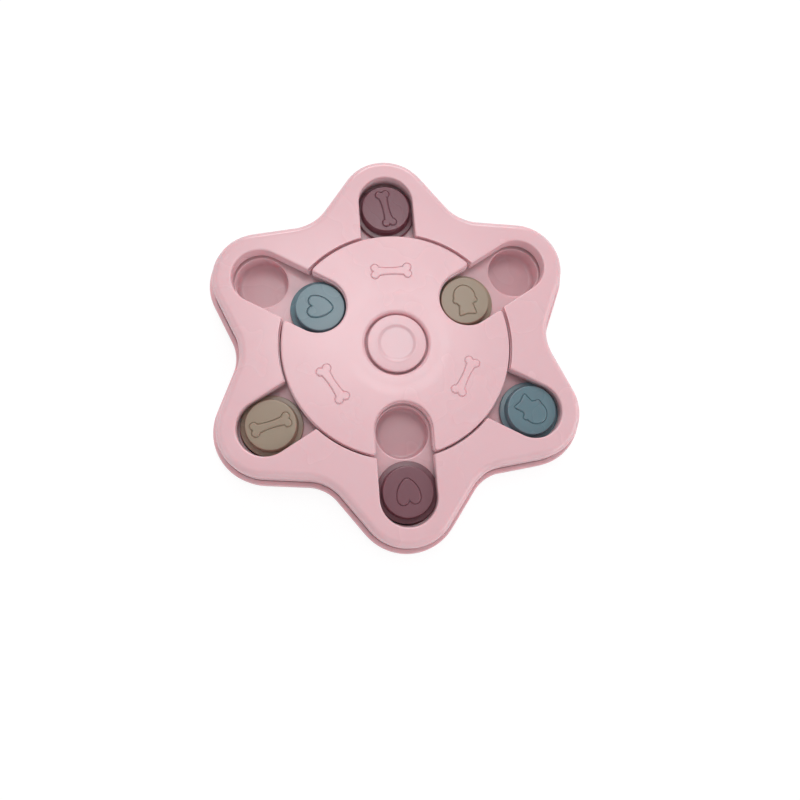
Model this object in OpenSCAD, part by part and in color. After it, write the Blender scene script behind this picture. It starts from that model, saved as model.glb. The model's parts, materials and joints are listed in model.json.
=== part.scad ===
// Puzzle feeder toy for dogs: a six-lobed star with a turntable and six sliding blocks.
// The star stands on the z = 0 plane with its turntable's axis on Z.
// A lobe lies on every odd multiple of 30 degrees, counted from +X.

/* [Star body] */
// Width of the cover between a slot's end and the cover's wall round a lobe
lobe_margin = 12.1; // [11:0.1:14]
// How much nearer the axis the bottom of a hollow is than a lobe's tip
valley_depth = 27.2; // [26:0.1:31]
// Radius of the hollow between two lobes
valley_r = 28; // [24:1:31]
// Thickness of the cover's side wall
cover_wall = 2.4; // [1.8:0.1:3]
// Thickness of the cover's top
cover_skin = 2.4; // [1.8:0.1:3]
// Radius of the cover's upper edge
edge_r = 5; // [2:0.5:6]
// How far the bead at the parting groove stands out of the cover's wall
bead_out = 0.5; // [0.2:0.1:0.9]
// Height of that bead
bead_h = 1.1; // [0.6:0.1:2]

/* [Base shell] */
// How far the base stands out past the cover's wall
base_flare = 3.6; // [3.2:0.1:5]
// Thickness of the base's side wall
base_wall = 2.9; // [2.4:0.1:3]
// Thickness of the base's floor
base_floor = 1.6; // [1.2:0.1:2.4]
// Height of the base's rim above the table
rim_z = 11; // [9:0.5:12]
// Radius of the base's lower edge
base_edge_r = 2; // [1:0.1:3]
// Radius of the rim's edge
rim_edge_r = 0.8; // [0.3:0.1:1]
// How deep the cover's wall dips behind the base's rim
cover_dip = 2.6; // [1.5:0.1:4]
// Distance from the cover's wall to a case screw
boss_inset = 10.2; // [8.8:0.1:11.4]
// Radius of a screw boss on the base
base_boss_r = 4.9; // [4.5:0.1:5.6]
// Radius of a screw boss under the cover
cover_boss_r = 4; // [3.4:0.1:5]

/* [Case screws and feet] */
// Radius of a case screw's shank
screw_r = 1.45; // [1.25:0.05:1.6]
// Radius of a case screw's head
screw_head_r = 2.9; // [2.5:0.1:3.1]
// Height of a case screw's head
screw_head_h = 1.9; // [1.4:0.1:2.2]
// Length of a case screw's shank
screw_len = 17; // [14:0.5:18]
// Width of the cross recess in a screw head
cross_w = 0.8; // [0.6:0.1:1]
// Radius of a rubber foot pad
foot_r = 7; // [5:0.5:9]
// How far a foot pad stands out of the base
foot_proud = 1; // [0.6:0.1:2]
// How deep a foot pad sits in the base's floor
foot_seat = 0.6; // [0.4:0.1:0.8]

/* [Food tray] */
// Depth of a food cup
cup_depth = 10.7; // [8:0.1:13]
// Distance from the middle to an inner cup, and to a turntable slot's inner end
slot_in = 53.1; // [52:0.5:55]
// Distance between the inner and the outer cup of a lobe
cup_spacing = 39.2; // [38:0.2:41]
// Width of the track between a cup and the side of a slot
cup_ledge = 1; // [0.6:0.1:2]
// Radius of the curve between a cup's wall and its floor
cup_fillet_r = 2.8; // [1:0.1:4]
// Radius of a cup's rim
cup_rim_r = 0.8; // [0.3:0.1:1.2]
// Thickness of a cup's wall
cup_wall = 1.6; // [1.2:0.1:1.9]
// Thickness of a cup's floor
cup_floor = 1.2; // [0.9:0.1:2]
// Thickness of the track plate that the blocks slide on
track_t = 1.8; // [1.4:0.1:2.4]

/* [Slots] */
// How far a lip reaches in over a block's flange
lip_grip = 1.5; // [1:0.1:2]
// Depth of a slot's turned-down lip below the cover's top
lip_depth = 8.6; // [7.5:0.1:10]
// Thickness of a lip
lip_wall = 1.8; // [1.4:0.1:2.2]

/* [Sliding blocks] */
// Gap between a block's knob and the side of its slot
knob_gap = 1.6; // [1.2:0.1:2]
// How much narrower the knob is at its top
knob_draft = 0.5; // [0.2:0.1:0.8]
// Radius of the knob's upper edge
knob_edge_r = 0.9; // [0.4:0.1:1.5]
// How far the knob's top lies below the cover's top
knob_sink = 3; // [1:0.1:4]
// Gap from a block's flange to the middle between two cups
flange_gap = 1.1; // [0.9:0.1:1.6]
// Thickness of the flange
flange_t = 2.3; // [1.8:0.1:3]
// Thickness of a block's wall and of its top
block_wall = 2.6; // [2:0.1:4]
// Height of the raised figures
figure_h = 0.6; // [0.3:0.1:1]
// Distance from the end of a bone figure to its knob's wall
bone_margin = 2.9; // [2.3:0.1:6]
// Distance from the side of a heart figure to its knob's wall
heart_margin = 7.6; // [6:0.1:9]
// Distance from the end of a fish figure to its knob's wall
fish_margin = 5.4; // [4:0.1:8]

/* [Turntable] */
// Thickness of the turntable's top
disc_skin = 2.6; // [2:0.1:3]
// How far the turntable's top lies below the cover's top
disc_sink = 0.3; // [0:0.1:0.6]
// Width of the step round the turntable's edges
ledge_w = 1.2; // [0.8:0.1:1.6]
// Depth of that step
ledge_drop = 1; // [0.6:0.1:1.4]
// Width of the rebate round the cover's opening
rebate_w = 1; // [0.6:0.1:1.4]
// Depth of that rebate
rebate_drop = 1.6; // [0.4:0.1:1.8]
// Thickness of the hub's wall
hub_wall = 1.5; // [1.2:0.1:2.2]
// Width of the ring under the turntable that rests on the tray's bearing
shoulder_w = 3.6; // [2.5:0.1:4.5]
// Thickness of the stiffening ribs
rib_t = 1.6; // [1.2:0.1:2]
// Height of the stiffening ribs
rib_h = 3.6; // [2:0.1:4.4]
// Distance from the turntable's rim to a bone figure
bone_inset = 23.7; // [16:0.5:28]
// Length of a bone figure on the turntable
disc_bone_len = 26; // [20:1:28]

/* [Squeaker button] */
// Radius of the button's head
button_r = 17.7; // [17:0.1:18]
// Width of the ring gap round the button's head
button_gap = 1.5; // [1.2:0.1:1.8]
// How far the button's flange reaches under the turntable
button_grip = 0.7; // [0.5:0.1:1.2]
// How far the button's top stands above the turntable's top
button_rise = 0.3; // [0:0.1:1]
// How far the button can be pressed
button_travel = 3; // [2:0.5:5]
// Thickness of the button's walls
button_wall = 1.8; // [1.4:0.1:2.2]
// Thickness of the button's flange, and of the collar above it
button_flange_t = 2; // [1.4:0.1:2.4]
// Radius of the button's upper edge
button_edge_r = 0.8; // [0.3:0.1:1.4]
// Width of the rim round the shallow dish in the button's top
dish_margin = 6.8; // [5:0.1:8]
// Depth of that dish
button_dish = 0.5; // [0.2:0.1:0.8]
// Gap between the button's wall and the squeaker's bellows
bellows_gap = 2.1; // [1.2:0.1:3]
// Depth of a fold in the bellows
fold_depth = 2.2; // [1.4:0.1:3]
// Thickness of the bellows' wall
bellows_wall = 1.1; // [0.8:0.1:1.4]
// Radius of the squeaker's reed
reed_r = 4; // [3:0.1:5]
// Radius of the air passage in the reed
reed_bore_r = 1.6; // [1:0.1:2.2]
// How far the reed's collar stands out
reed_rim = 1.6; // [1:0.1:2.4]
// Thickness of the reed's collar
reed_rim_t = 1.2; // [0.8:0.1:1.8]
// Height of the reed above the retaining plate
reed_h = 4.4; // [3:0.1:6]

/* [Hub retainer] */
// Thickness of the plate that holds the hub down
retainer_t = 1.6; // [1.3:0.1:2]
// How far the retaining plate reaches out past the hub
retainer_out = 2.8; // [2.2:0.1:3.4]
// Distance from the hub's bore to a retaining screw
small_screw_inset = 2; // [1.7:0.1:2.2]
// Radius of a screw boss inside the hub
hub_boss_r = 2.8; // [2.5:0.1:2.9]
// Radius of a retaining screw's shank
small_screw_r = 1.1; // [0.9:0.05:1.2]
// Radius of a retaining screw's head
small_head_r = 2; // [1.8:0.1:2.2]
// Height of a retaining screw's head
small_head_h = 1; // [0.8:0.1:1.2]
// Length of a retaining screw's shank
small_screw_len = 5.4; // [4:0.2:5.8]

/* [Clearances] */
// Gap between faces that slide on each other
slide_gap = 0.3; // [0.25:0.05:0.4]
// Gap left at each end of a block's travel
stop_gap = 0.3; // [0.2:0.05:0.5]
// Gap round the turntable in the cover's opening
disc_gap = 0.6; // [0.4:0.05:0.9]
// Radial gap of the hub in its bearing
bearing_gap = 0.08; // [0.04:0.01:0.1]
// Gap round a screw in its boss
screw_gap = 0.03; // [0.02:0.01:0.06]
// Gap round a screw where it passes through
pass_gap = 0.35; // [0.25:0.05:0.5]
// Gap between the tray's edge and the cover's wall
tray_gap = 0.4; // [0.3:0.05:0.6]

/* [Hidden] */
$fn = 96;

pink = "#E9C4CA";
mauve = "#84626B";
taupe = "#9C8E7D";
slate = "#728A90";
rubber = "#D9D5D0";
steel = "#A9ABAE";

lobes = 6;
pitch = 360 / lobes;
disc_slots = 3;
disc_pitch = 360 / disc_slots;
// Steps that a stepped edge has, on the cover and on the base
edge_steps = 5;
rim_steps = 2;
fold_count = 4;
arc_steps = 6;
// How far a cut runs past the face that it opens, and a joined piece into its neighbour
overrun = cover_skin / 2;

// Sizes that follow from one another, from a block's flange up to the star
flange_r = cup_spacing / 2 - flange_gap;
slot_half = flange_r - lip_grip;
knob_r = slot_half - knob_gap;
cup_r = slot_half - cup_ledge;
block_bone_len = 2 * (knob_r - bone_margin);
heart_w = 2 * (knob_r - heart_margin);
fish_len = 2 * (knob_r - fish_margin);
lobe_reach = slot_in + cup_spacing;
lobe_r = slot_half + lobe_margin;
valley_reach = lobe_reach + lobe_r - valley_depth + valley_r;
// A straight flank joins the circle of a hollow to that of the lobe beside it. It runs a hair inside
// both, so that it crosses them. The flank from the hollow on +X to the next lobe has this normal
flank_bite_share = 0.001;
flank_bite = flank_bite_share * lobe_r;
valley_from_lobe = [valley_reach - lobe_reach * cos(pitch / 2), -lobe_reach * sin(pitch / 2)];
flank_normal = atan2(valley_from_lobe[1], valley_from_lobe[0])
  + acos((lobe_r + valley_r - 2 * flank_bite) / norm(valley_from_lobe));

// Heights above the table, from the bottom up
floor_top = foot_proud + base_floor;
cup_bottom = floor_top + cup_floor;
track_z = cup_bottom + cup_depth;
track_under = track_z - track_t;
flange_z = track_z + slide_gap;
flange_top = flange_z + flange_t;
lip_z = flange_top + slide_gap;
cover_top = lip_z + lip_depth;
skin_z = cover_top - cover_skin;
cover_z = rim_z - cover_dip;
bead_z = rim_z + slide_gap;
knob_top = cover_top - knob_sink;
disc_top = cover_top - disc_sink;
disc_under = disc_top - disc_skin;
case_screw_z = foot_proud + pass_gap;
case_seat_z = case_screw_z + screw_head_h;

boss_reach = valley_reach - valley_r - boss_inset;

// Places along a slot. The turntable holds the whole flange of a block that it carries
block_in = slot_in - knob_gap + stop_gap;
block_out = lobe_reach + knob_gap - stop_gap;
opening_r = block_in + flange_r;
disc_r = opening_r - disc_gap;
bone_reach = disc_r - bone_inset;
// A block that stays in its lobe clears the flanges that the turntable carries past it
block_clear = block_in + 2 * flange_r + stop_gap;
block_far = (block_clear + block_out) / 2;

// Heights and radii in the hub
button_top = disc_top + button_rise;
button_under = button_top - button_wall;
collar_z = disc_under - button_flange_t;
button_flange_top = collar_z - slide_gap;
button_z = button_flange_top - button_flange_t;
button_hole_r = button_r + button_gap;
button_flange_r = button_hole_r + button_grip;
button_dish_r = button_r - dish_margin;
bellows_r = button_r - button_wall - bellows_gap;
hub_bore_r = button_flange_r + slide_gap;
hub_r = hub_bore_r + hub_wall;
retainer_screw_reach = hub_bore_r - small_screw_inset;
small_head_z = floor_top + slide_gap;
small_seat_z = small_head_z + small_head_h;
retainer_z = small_seat_z - retainer_t / 2;
hub_z = retainer_z + retainer_t;
// The screw bosses in the hub stop the button when it is pressed
hub_boss_top = button_z - button_travel - slide_gap;
bearing_r = hub_r + bearing_gap;
bearing_z = hub_z + slide_gap;
bearing_top = lip_z - slide_gap;
bellows_top = button_under - slide_gap;

function polar(r, a) = [r * cos(a), r * sin(a)];
function arc(centre, r, a0, a1) =
  [for (i = [0 : arc_steps]) centre + polar(r, a0 + (a1 - a0) * i / arc_steps)];

module at_lobes() {
  for (k = [0 : lobes - 1]) rotate(pitch * (k + 0.5)) children();
}

module at_case_screws() {
  for (k = [0 : lobes - 1]) rotate(pitch * k) translate([boss_reach, 0, 0]) children();
}

module at_cups() {
  at_lobes() for (reach = [slot_in, lobe_reach]) translate([reach, 0, floor_top]) children();
}

module at_disc_slots() {
  for (k = [0 : disc_slots - 1]) rotate(disc_pitch * k + pitch / 2) children();
}

// Midway between the turntable's slots
module at_disc_lands() {
  for (k = [0 : disc_slots - 1]) rotate(disc_pitch * k - pitch / 2) children();
}

module at_hub_screws() {
  at_disc_lands() translate([retainer_screw_reach, 0, 0]) children();
}

// From one hollow to the next: its centre, the ends of a flank, the lobe's centre, the other flank's ends
function star_corners(a, off) = let(
  tip_r = lobe_r - flank_bite + off,
  hollow_r = valley_r - flank_bite - off) [
  polar(valley_reach, a),
  polar(valley_reach, a) - polar(hollow_r, a + flank_normal),
  polar(lobe_reach, a + pitch / 2) + polar(tip_r, a + flank_normal),
  polar(lobe_reach, a + pitch / 2),
  polar(lobe_reach, a + pitch / 2) + polar(tip_r, a + pitch - flank_normal),
  polar(valley_reach, a + pitch) - polar(hollow_r, a + pitch - flank_normal)];

// The star's outline, grown by off all round
module star(off) {
  for (k = [0 : lobes - 1])
    translate(polar(lobe_reach, pitch * (k + 0.5))) circle(r = lobe_r + off);
  difference() {
    polygon([for (k = [0 : lobes - 1], p = star_corners(pitch * k, off)) p]);
    for (k = [0 : lobes - 1])
      translate(polar(valley_reach, pitch * k)) circle(r = valley_r - off);
  }
}

module star_slab(off, z0, z1) {
  translate([0, 0, z0]) linear_extrude(height = z1 - z0) star(off);
}

// One edge of a slab, rounded in steps that all start inside it: side is 1 at its top and -1 at its foot
module stepped_edge(off, z, r, steps, side) {
  for (i = [1 : steps]) {
    near = z - side * r / 2;
    far = z + side * r * sin(90 * i / steps);
    star_slab(off - r + r * cos(90 * (i - 0.5) / steps), min(near, far), max(near, far));
  }
}

// A slot from the middle out to a round end
module slot_out(half, reach) {
  translate([0, -half]) square([reach, 2 * half]);
  translate([reach, 0]) circle(r = half);
}

// A slot from a round end out past a rim
module slot_in_from(rim, half, reach) {
  translate([reach, -half]) square([rim - reach, 2 * half]);
  translate([reach, 0]) circle(r = half);
}

// Figures: each is centred, and points along +X
bone_ball_share = 0.105;
bone_gap_share = 0.098;
bone_waist_share = 0.23;
bone_side_share = 1.6;
heart_ball_share = 0.293;
heart_tip_share = 0.17;
fish_body_share = 0.77;
fish_middle_share = 0.13;
fish_fin_share = 0.21;
fish_fin_shares = [[0.18, 0.52], [0.02, -0.5]];
fish_tail_shares = [[-0.25, 0.3], [-0.98, 0.56], [-0.84, 0], [-0.98, -0.56], [-0.25, -0.3]];

module bone(len) {
  ball = bone_ball_share * len;
  span = len / 2 - ball;
  side = bone_side_share * len;
  waist = bone_waist_share * len;
  for (x = [-span, span], y = [-1, 1]) translate([x, y * bone_gap_share * len]) circle(r = ball);
  difference() {
    square([2 * span, 2 * (ball + bone_gap_share * len)], center = true);
    for (y = [-1, 1]) translate([0, y * (side + waist / 2)]) circle(r = side);
  }
}

module heart(width) {
  ball = heart_ball_share * width;
  tip = heart_tip_share * width;
  rotate(135) {
    polygon([[ball, -ball], [ball, ball], [-ball, ball], [-ball, tip - ball], [tip - ball, -ball]]);
    translate([tip - ball, tip - ball]) circle(r = tip);
    translate([ball, 0]) circle(r = ball);
    translate([0, ball]) circle(r = ball);
  }
}

module fish(len) {
  half = len / 2;
  body = fish_body_share * half;
  translate([half * (1 - sqrt(pow(fish_body_share, 2) - pow(fish_middle_share, 2))), 0])
    intersection_for(y = [-1, 1]) translate([0, y * fish_middle_share * half]) circle(r = body);
  for (place = fish_fin_shares) translate(half * place) circle(r = fish_fin_share * half);
  polygon(half * fish_tail_shares);
}

module base_shell() color(pink) difference() {
  union() {
    difference() {
      union() {
        stepped_edge(base_flare, foot_proud + base_edge_r, base_edge_r, rim_steps, -1);
        star_slab(base_flare, foot_proud + base_edge_r, rim_z - rim_edge_r);
        stepped_edge(base_flare, rim_z - rim_edge_r, rim_edge_r, rim_steps, 1);
      }
      star_slab(base_flare - base_wall, floor_top, rim_z + overrun);
    }
    at_case_screws() translate([0, 0, floor_top - base_floor / 2])
      cylinder(r = base_boss_r, h = track_under - floor_top + base_floor / 2);
  }
  at_case_screws() {
    cylinder(r = screw_head_r + pass_gap, h = case_seat_z);
    cylinder(r = screw_r + pass_gap, h = track_z);
  }
  at_lobes() translate([lobe_reach, 0, 0])
    cylinder(r = foot_r + slide_gap / 2, h = foot_proud + foot_seat);
}

// Opens at the track with a round rim, and meets the cup's floor in a curve
module cup_hollow() {
  top = track_z - floor_top;
  rotate_extrude() polygon(concat(
    [[0, cup_floor]],
    arc([cup_r - cup_fillet_r, cup_floor + cup_fillet_r], cup_fillet_r, -90, 0),
    arc([cup_r + cup_rim_r, top - cup_rim_r], cup_rim_r, 180, 90),
    [[cup_r + cup_rim_r, top + overrun], [0, top + overrun]]));
}

module food_tray() color(pink) difference() {
  union() {
    star_slab(-cover_wall - tray_gap, track_under, track_z);
    at_cups() cylinder(r = cup_r + cup_wall, h = track_z - floor_top - track_t / 2);
    translate([0, 0, bearing_z]) cylinder(r = bearing_r + cup_wall, h = bearing_top - bearing_z);
  }
  at_cups() cup_hollow();
  cylinder(r = bearing_r, h = cover_top);
  at_case_screws() cylinder(r = screw_r + pass_gap, h = cover_top);
}

module top_cover() color(pink) difference() {
  union() {
    difference() {
      union() {
        star_slab(0, cover_z, cover_top - edge_r);
        stepped_edge(0, cover_top - edge_r, edge_r, edge_steps, 1);
        star_slab(bead_out, bead_z, bead_z + bead_h);
      }
      star_slab(-cover_wall, cover_z - overrun, skin_z);
    }
    // Lips turned down round the slots and the opening
    translate([0, 0, lip_z]) linear_extrude(height = skin_z - lip_z + overrun) {
      at_lobes() slot_out(slot_half + lip_wall, lobe_reach);
      circle(r = opening_r + lip_wall);
    }
    at_case_screws() translate([0, 0, track_z])
      cylinder(r = cover_boss_r, h = skin_z - track_z + overrun);
  }
  translate([0, 0, track_z]) linear_extrude(height = cover_top) {
    at_lobes() slot_out(slot_half, lobe_reach);
    circle(r = opening_r);
  }
  translate([0, 0, cover_top - rebate_drop]) cylinder(r = opening_r + rebate_w, h = cover_top);
  at_case_screws() cylinder(r = screw_r + screw_gap, h = case_seat_z + screw_len + slide_gap);
}

module screw(r, head_r, head_h, len) difference() {
  union() {
    cylinder(r = head_r, h = head_h);
    cylinder(r = r, h = head_h + len);
  }
  for (a = [0, 90]) rotate(a) translate([-r, -cross_w / 2, -head_h / 2])
    cube([2 * r, cross_w, head_h]);
}

module case_screws() color(steel) at_case_screws() translate([0, 0, case_screw_z])
  screw(screw_r, screw_head_r, screw_head_h, screw_len);

// Number 1 is under the lobe next to +X, and the rest follow counter-clockwise
module foot_pad(number) color(rubber) rotate(pitch * (number - 0.5)) translate([lobe_reach, 0, 0])
  rotate_extrude() polygon(concat(
    [[0, 0]],
    arc([foot_r - foot_proud / 2, foot_proud / 2], foot_proud / 2, -90, 0),
    [[foot_r, foot_proud + foot_seat], [0, foot_proud + foot_seat]]));

// The turntable's outline, drawn in from its rim and from its slots
module disc_outline(inset) difference() {
  circle(r = disc_r - inset);
  at_disc_slots() slot_in_from(opening_r, slot_half + inset, slot_in);
}

module turntable() color(pink) difference() {
  union() {
    translate([0, 0, disc_under]) linear_extrude(height = disc_skin - ledge_drop) disc_outline(0);
    translate([0, 0, disc_top - ledge_drop]) linear_extrude(height = ledge_drop) disc_outline(ledge_w);
    // Lips turned down round the rim and the slots
    translate([0, 0, lip_z]) linear_extrude(height = disc_under - lip_z) difference() {
      disc_outline(0);
      disc_outline(lip_wall);
    }
    at_disc_lands() {
      translate([hub_r - hub_wall / 2, -rib_t / 2, disc_under - rib_h])
        cube([disc_r - lip_wall / 2 - hub_r + hub_wall / 2, rib_t, rib_h + ledge_drop]);
      translate([bone_reach, 0, disc_top - ledge_drop]) rotate(90)
        linear_extrude(height = ledge_drop + figure_h) bone(disc_bone_len);
    }
    translate([0, 0, hub_z]) cylinder(r = hub_r, h = disc_top - ledge_drop - hub_z);
    translate([0, 0, lip_z]) cylinder(r = hub_r + shoulder_w, h = lip_wall);
  }
  difference() {
    cylinder(r = hub_bore_r, h = collar_z);
    at_hub_screws() cylinder(r = hub_boss_r, h = hub_boss_top);
  }
  at_hub_screws() cylinder(r = small_screw_r + screw_gap, h = small_seat_z + small_screw_len + slide_gap);
  cylinder(r = button_hole_r, h = cover_top + overrun);
}

module hub_retainer() color(pink) difference() {
  translate([0, 0, retainer_z]) cylinder(r = hub_r + retainer_out, h = retainer_t);
  cylinder(r = reed_r + screw_gap, h = track_z);
  at_hub_screws() {
    cylinder(r = small_screw_r + pass_gap, h = track_z);
    cylinder(r = small_head_r + pass_gap, h = small_seat_z);
  }
}

module retainer_screws() color(steel) at_hub_screws() translate([0, 0, small_head_z])
  screw(small_screw_r, small_head_r, small_head_h, small_screw_len);

// The air bulb, open at its foot, with its folds one above another
module squeaker_bellows() color(rubber) rotate_extrude() {
  rise = (bellows_top - bellows_wall - hub_z) / (2 * fold_count);
  side = [for (i = [0 : 2 * fold_count])
    [bellows_r - (i % 2) * fold_depth, hub_z + rise * i]];
  polygon(concat(
    side,
    [[bellows_r, bellows_top], [0, bellows_top], [0, bellows_top - bellows_wall]],
    [for (i = [len(side) - 1 : -1 : 0]) side[i] - [bellows_wall, 0]]));
}

module squeaker_reed() color(rubber) difference() {
  translate([0, 0, retainer_z]) {
    cylinder(r = reed_r, h = retainer_t + reed_h);
    translate([0, 0, retainer_t]) cylinder(r = reed_r + reed_rim, h = reed_rim_t);
  }
  cylinder(r = reed_bore_r, h = track_z);
}

module centre_button() color(pink) rotate_extrude() polygon(concat(
  [[0, button_under], [button_r - button_wall, button_under], [button_r - button_wall, button_z],
    [button_flange_r, button_z], [button_flange_r, button_flange_top], [button_r, button_flange_top]],
  arc([button_r - button_edge_r, button_top - button_edge_r], button_edge_r, 0, 90),
  [[button_dish_r, button_top], [button_dish_r, button_top - button_dish], [0, button_top - button_dish]]));

// A block in the slot of the lobe at an angle, with a figure turned to its own angle
module block(lobe, reach, turn) rotate(lobe) translate([reach, 0, 0]) {
  top_r = knob_r - knob_draft;
  hollow_r = top_r - block_wall;
  rotate_extrude() polygon(concat(
    [[hollow_r, flange_z], [flange_r, flange_z], [flange_r, flange_top], [knob_r, flange_top]],
    arc([top_r - knob_edge_r, knob_top - knob_edge_r], knob_edge_r, 0, 90),
    [[0, knob_top], [0, knob_top - block_wall], [hollow_r, knob_top - block_wall]]));
  translate([0, 0, knob_top - block_wall / 2]) rotate(turn - lobe)
    linear_extrude(height = block_wall / 2 + figure_h) children();
}

module bone_block_mauve() color(mauve) block(90, block_clear, 100) bone(block_bone_len);
module bone_block_taupe() color(taupe) block(210, block_clear, 15) bone(block_bone_len);
module heart_block_mauve() color(mauve) block(270, block_clear, 99) heart(heart_w);
module heart_block_blue() color(slate) block(150, block_in, -20) heart(heart_w);
module fish_block_taupe() color(taupe) block(30, block_in, 97) fish(fish_len);
module fish_block_blue() color(slate) block(330, block_far, -41) fish(fish_len);

base_shell();
food_tray();
top_cover();
case_screws();
foot_pad(1);  // foot_pad_1
foot_pad(2);  // foot_pad_2
foot_pad(3);  // foot_pad_3
foot_pad(4);  // foot_pad_4
foot_pad(5);  // foot_pad_5
foot_pad(6);  // foot_pad_6
turntable();
hub_retainer();
retainer_screws();
squeaker_bellows();
squeaker_reed();
centre_button();
bone_block_mauve();
bone_block_taupe();
heart_block_mauve();
heart_block_blue();
fish_block_taupe();
fish_block_blue();
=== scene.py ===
# %% [markdown]
# # A puzzle feeder for dogs, moulded in pink plastic
# The toy is a flat star with six lobes. Each lobe has a slot in which a round block slides, and a
# turntable with three slots of its own fills the middle. Food goes into cups under the slots.
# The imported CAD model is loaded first. It gives the place of every piece, so nothing has to be fitted.

# %% Load the frame
import json
import math

import bmesh
import bpy
from mathutils import Matrix, Vector

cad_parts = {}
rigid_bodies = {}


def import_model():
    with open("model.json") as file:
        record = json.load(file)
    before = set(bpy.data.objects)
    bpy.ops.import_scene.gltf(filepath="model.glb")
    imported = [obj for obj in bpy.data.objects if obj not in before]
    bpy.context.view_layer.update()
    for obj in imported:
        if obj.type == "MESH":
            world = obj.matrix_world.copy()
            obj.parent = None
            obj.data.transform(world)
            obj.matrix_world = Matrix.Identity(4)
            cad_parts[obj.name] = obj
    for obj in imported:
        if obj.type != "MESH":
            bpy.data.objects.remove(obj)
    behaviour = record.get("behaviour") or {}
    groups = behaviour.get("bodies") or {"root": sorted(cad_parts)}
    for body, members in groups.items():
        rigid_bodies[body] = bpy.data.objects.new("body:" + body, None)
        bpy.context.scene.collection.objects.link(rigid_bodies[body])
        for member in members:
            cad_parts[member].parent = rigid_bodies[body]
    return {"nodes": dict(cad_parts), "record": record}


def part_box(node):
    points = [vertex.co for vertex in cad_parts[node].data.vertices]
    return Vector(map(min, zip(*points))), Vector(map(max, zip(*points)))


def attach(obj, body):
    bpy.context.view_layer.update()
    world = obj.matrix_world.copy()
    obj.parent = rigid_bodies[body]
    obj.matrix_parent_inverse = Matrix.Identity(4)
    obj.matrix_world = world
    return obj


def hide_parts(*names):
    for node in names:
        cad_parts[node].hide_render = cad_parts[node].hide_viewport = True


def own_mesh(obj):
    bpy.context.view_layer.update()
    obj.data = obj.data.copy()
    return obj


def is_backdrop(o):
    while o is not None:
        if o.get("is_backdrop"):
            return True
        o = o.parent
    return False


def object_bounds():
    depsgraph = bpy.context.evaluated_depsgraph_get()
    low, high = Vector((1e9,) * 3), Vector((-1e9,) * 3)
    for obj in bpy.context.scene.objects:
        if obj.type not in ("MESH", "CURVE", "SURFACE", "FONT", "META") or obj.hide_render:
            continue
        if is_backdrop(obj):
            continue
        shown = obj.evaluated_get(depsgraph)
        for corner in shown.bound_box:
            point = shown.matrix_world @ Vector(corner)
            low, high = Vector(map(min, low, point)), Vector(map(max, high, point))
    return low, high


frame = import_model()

MM = 0.001
cad_low, cad_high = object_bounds()
cad_size = [round((b - a) / MM, 2) for a, b in zip(cad_low, cad_high)]
print("CAD nodes:", len(frame["nodes"]), "box in mm:", cad_size)

# %% [markdown]
# ## Drawing an outline with a pen
# Moulded plastic starts as a flat drawing. Extruding one vertex draws a straight line, and spinning it
# about a centre draws an arc, so an outline of lines and arcs is exact and has no more corners than it
# needs. Joining its two ends gives one face, which the next steps carry up or down.

# %% The pen
FINE = 0.01 * MM
WHOLE_TURN = 2 * math.pi


def start_piece(name):
    """A new, empty mesh at the origin, open in edit mode."""
    bpy.ops.object.select_all(action="DESELECT")
    bpy.ops.object.add(type="MESH", location=(0, 0, 0))
    piece = bpy.context.object
    piece.name = piece.data.name = name
    bpy.ops.object.mode_set(mode="EDIT")
    return piece


def pen(x, y, z):
    """Sets the pen down: one vertex, alone selected."""
    bpy.ops.mesh.select_mode(type="VERT")
    bpy.ops.mesh.select_all(action="DESELECT")
    bpy.ops.mesh.primitive_plane_add(size=MM, location=(x * MM, y * MM, z * MM))
    bpy.ops.mesh.merge(type="CENTER")


def line(x, y, z=0.0):
    bpy.ops.mesh.extrude_region_move(TRANSFORM_OT_translate={"value": (x * MM, y * MM, z * MM)})


def arc(centre, z, degrees, steps):
    """Draws on round a centre, counter-clockwise where the angle is positive."""
    x, y = centre
    bpy.ops.mesh.spin(steps=steps, angle=-math.radians(degrees),
                      center=(x * MM, y * MM, z * MM), axis=(0, 0, 1))


def spin_section(steps=96):
    """Spins all that the pen has drawn round the toy's axis, as a lathe would turn it."""
    bpy.ops.mesh.select_linked()
    bpy.ops.mesh.spin(steps=steps, angle=WHOLE_TURN, center=(0, 0, 0), axis=(0, 0, 1))


def close_outline(facing=1):
    """Joins the outline's ends and makes one face of it, which looks up or down."""
    bpy.ops.mesh.select_linked()
    bpy.ops.mesh.remove_doubles(threshold=FINE)
    bpy.ops.mesh.edge_face_add()
    bpy.ops.mesh.select_mode(type="FACE")
    look(facing)


def look(facing):
    """Turns the selected faces over unless they look up, or down for -1."""
    mesh = bmesh.from_edit_mesh(bpy.context.object.data)
    if any(face.select and face.normal.z * facing < 0 for face in mesh.faces):
        bpy.ops.mesh.flip_normals()


def polar(radius, degrees):
    return radius * math.cos(math.radians(degrees)), radius * math.sin(math.radians(degrees))


def turned(point, degrees):
    x, y = point
    c, s = math.cos(math.radians(degrees)), math.sin(math.radians(degrees))
    return x * c - y * s, x * s + y * c


print("one step along 30 degrees:", [round(v, 3) for v in polar(1, 30)])

# %% [markdown]
# ## Carrying a face along a profile
# An inset moves the rim of a face inwards and, by its depth, up or down. A row of insets with the sines
# and cosines of a quarter circle rounds an edge, and one inset with depth alone makes a wall. That
# follows any outline, which a bevel does less evenly where arcs meet. A profile often starts or ends
# with a small flat inset, a land, so that the long triangles of a flat face end before its rounded edge.
# EASE is the small radius of every edge that is only broken, so that it catches a line of light.

# %% Profiles
EASE = 0.3


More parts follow.
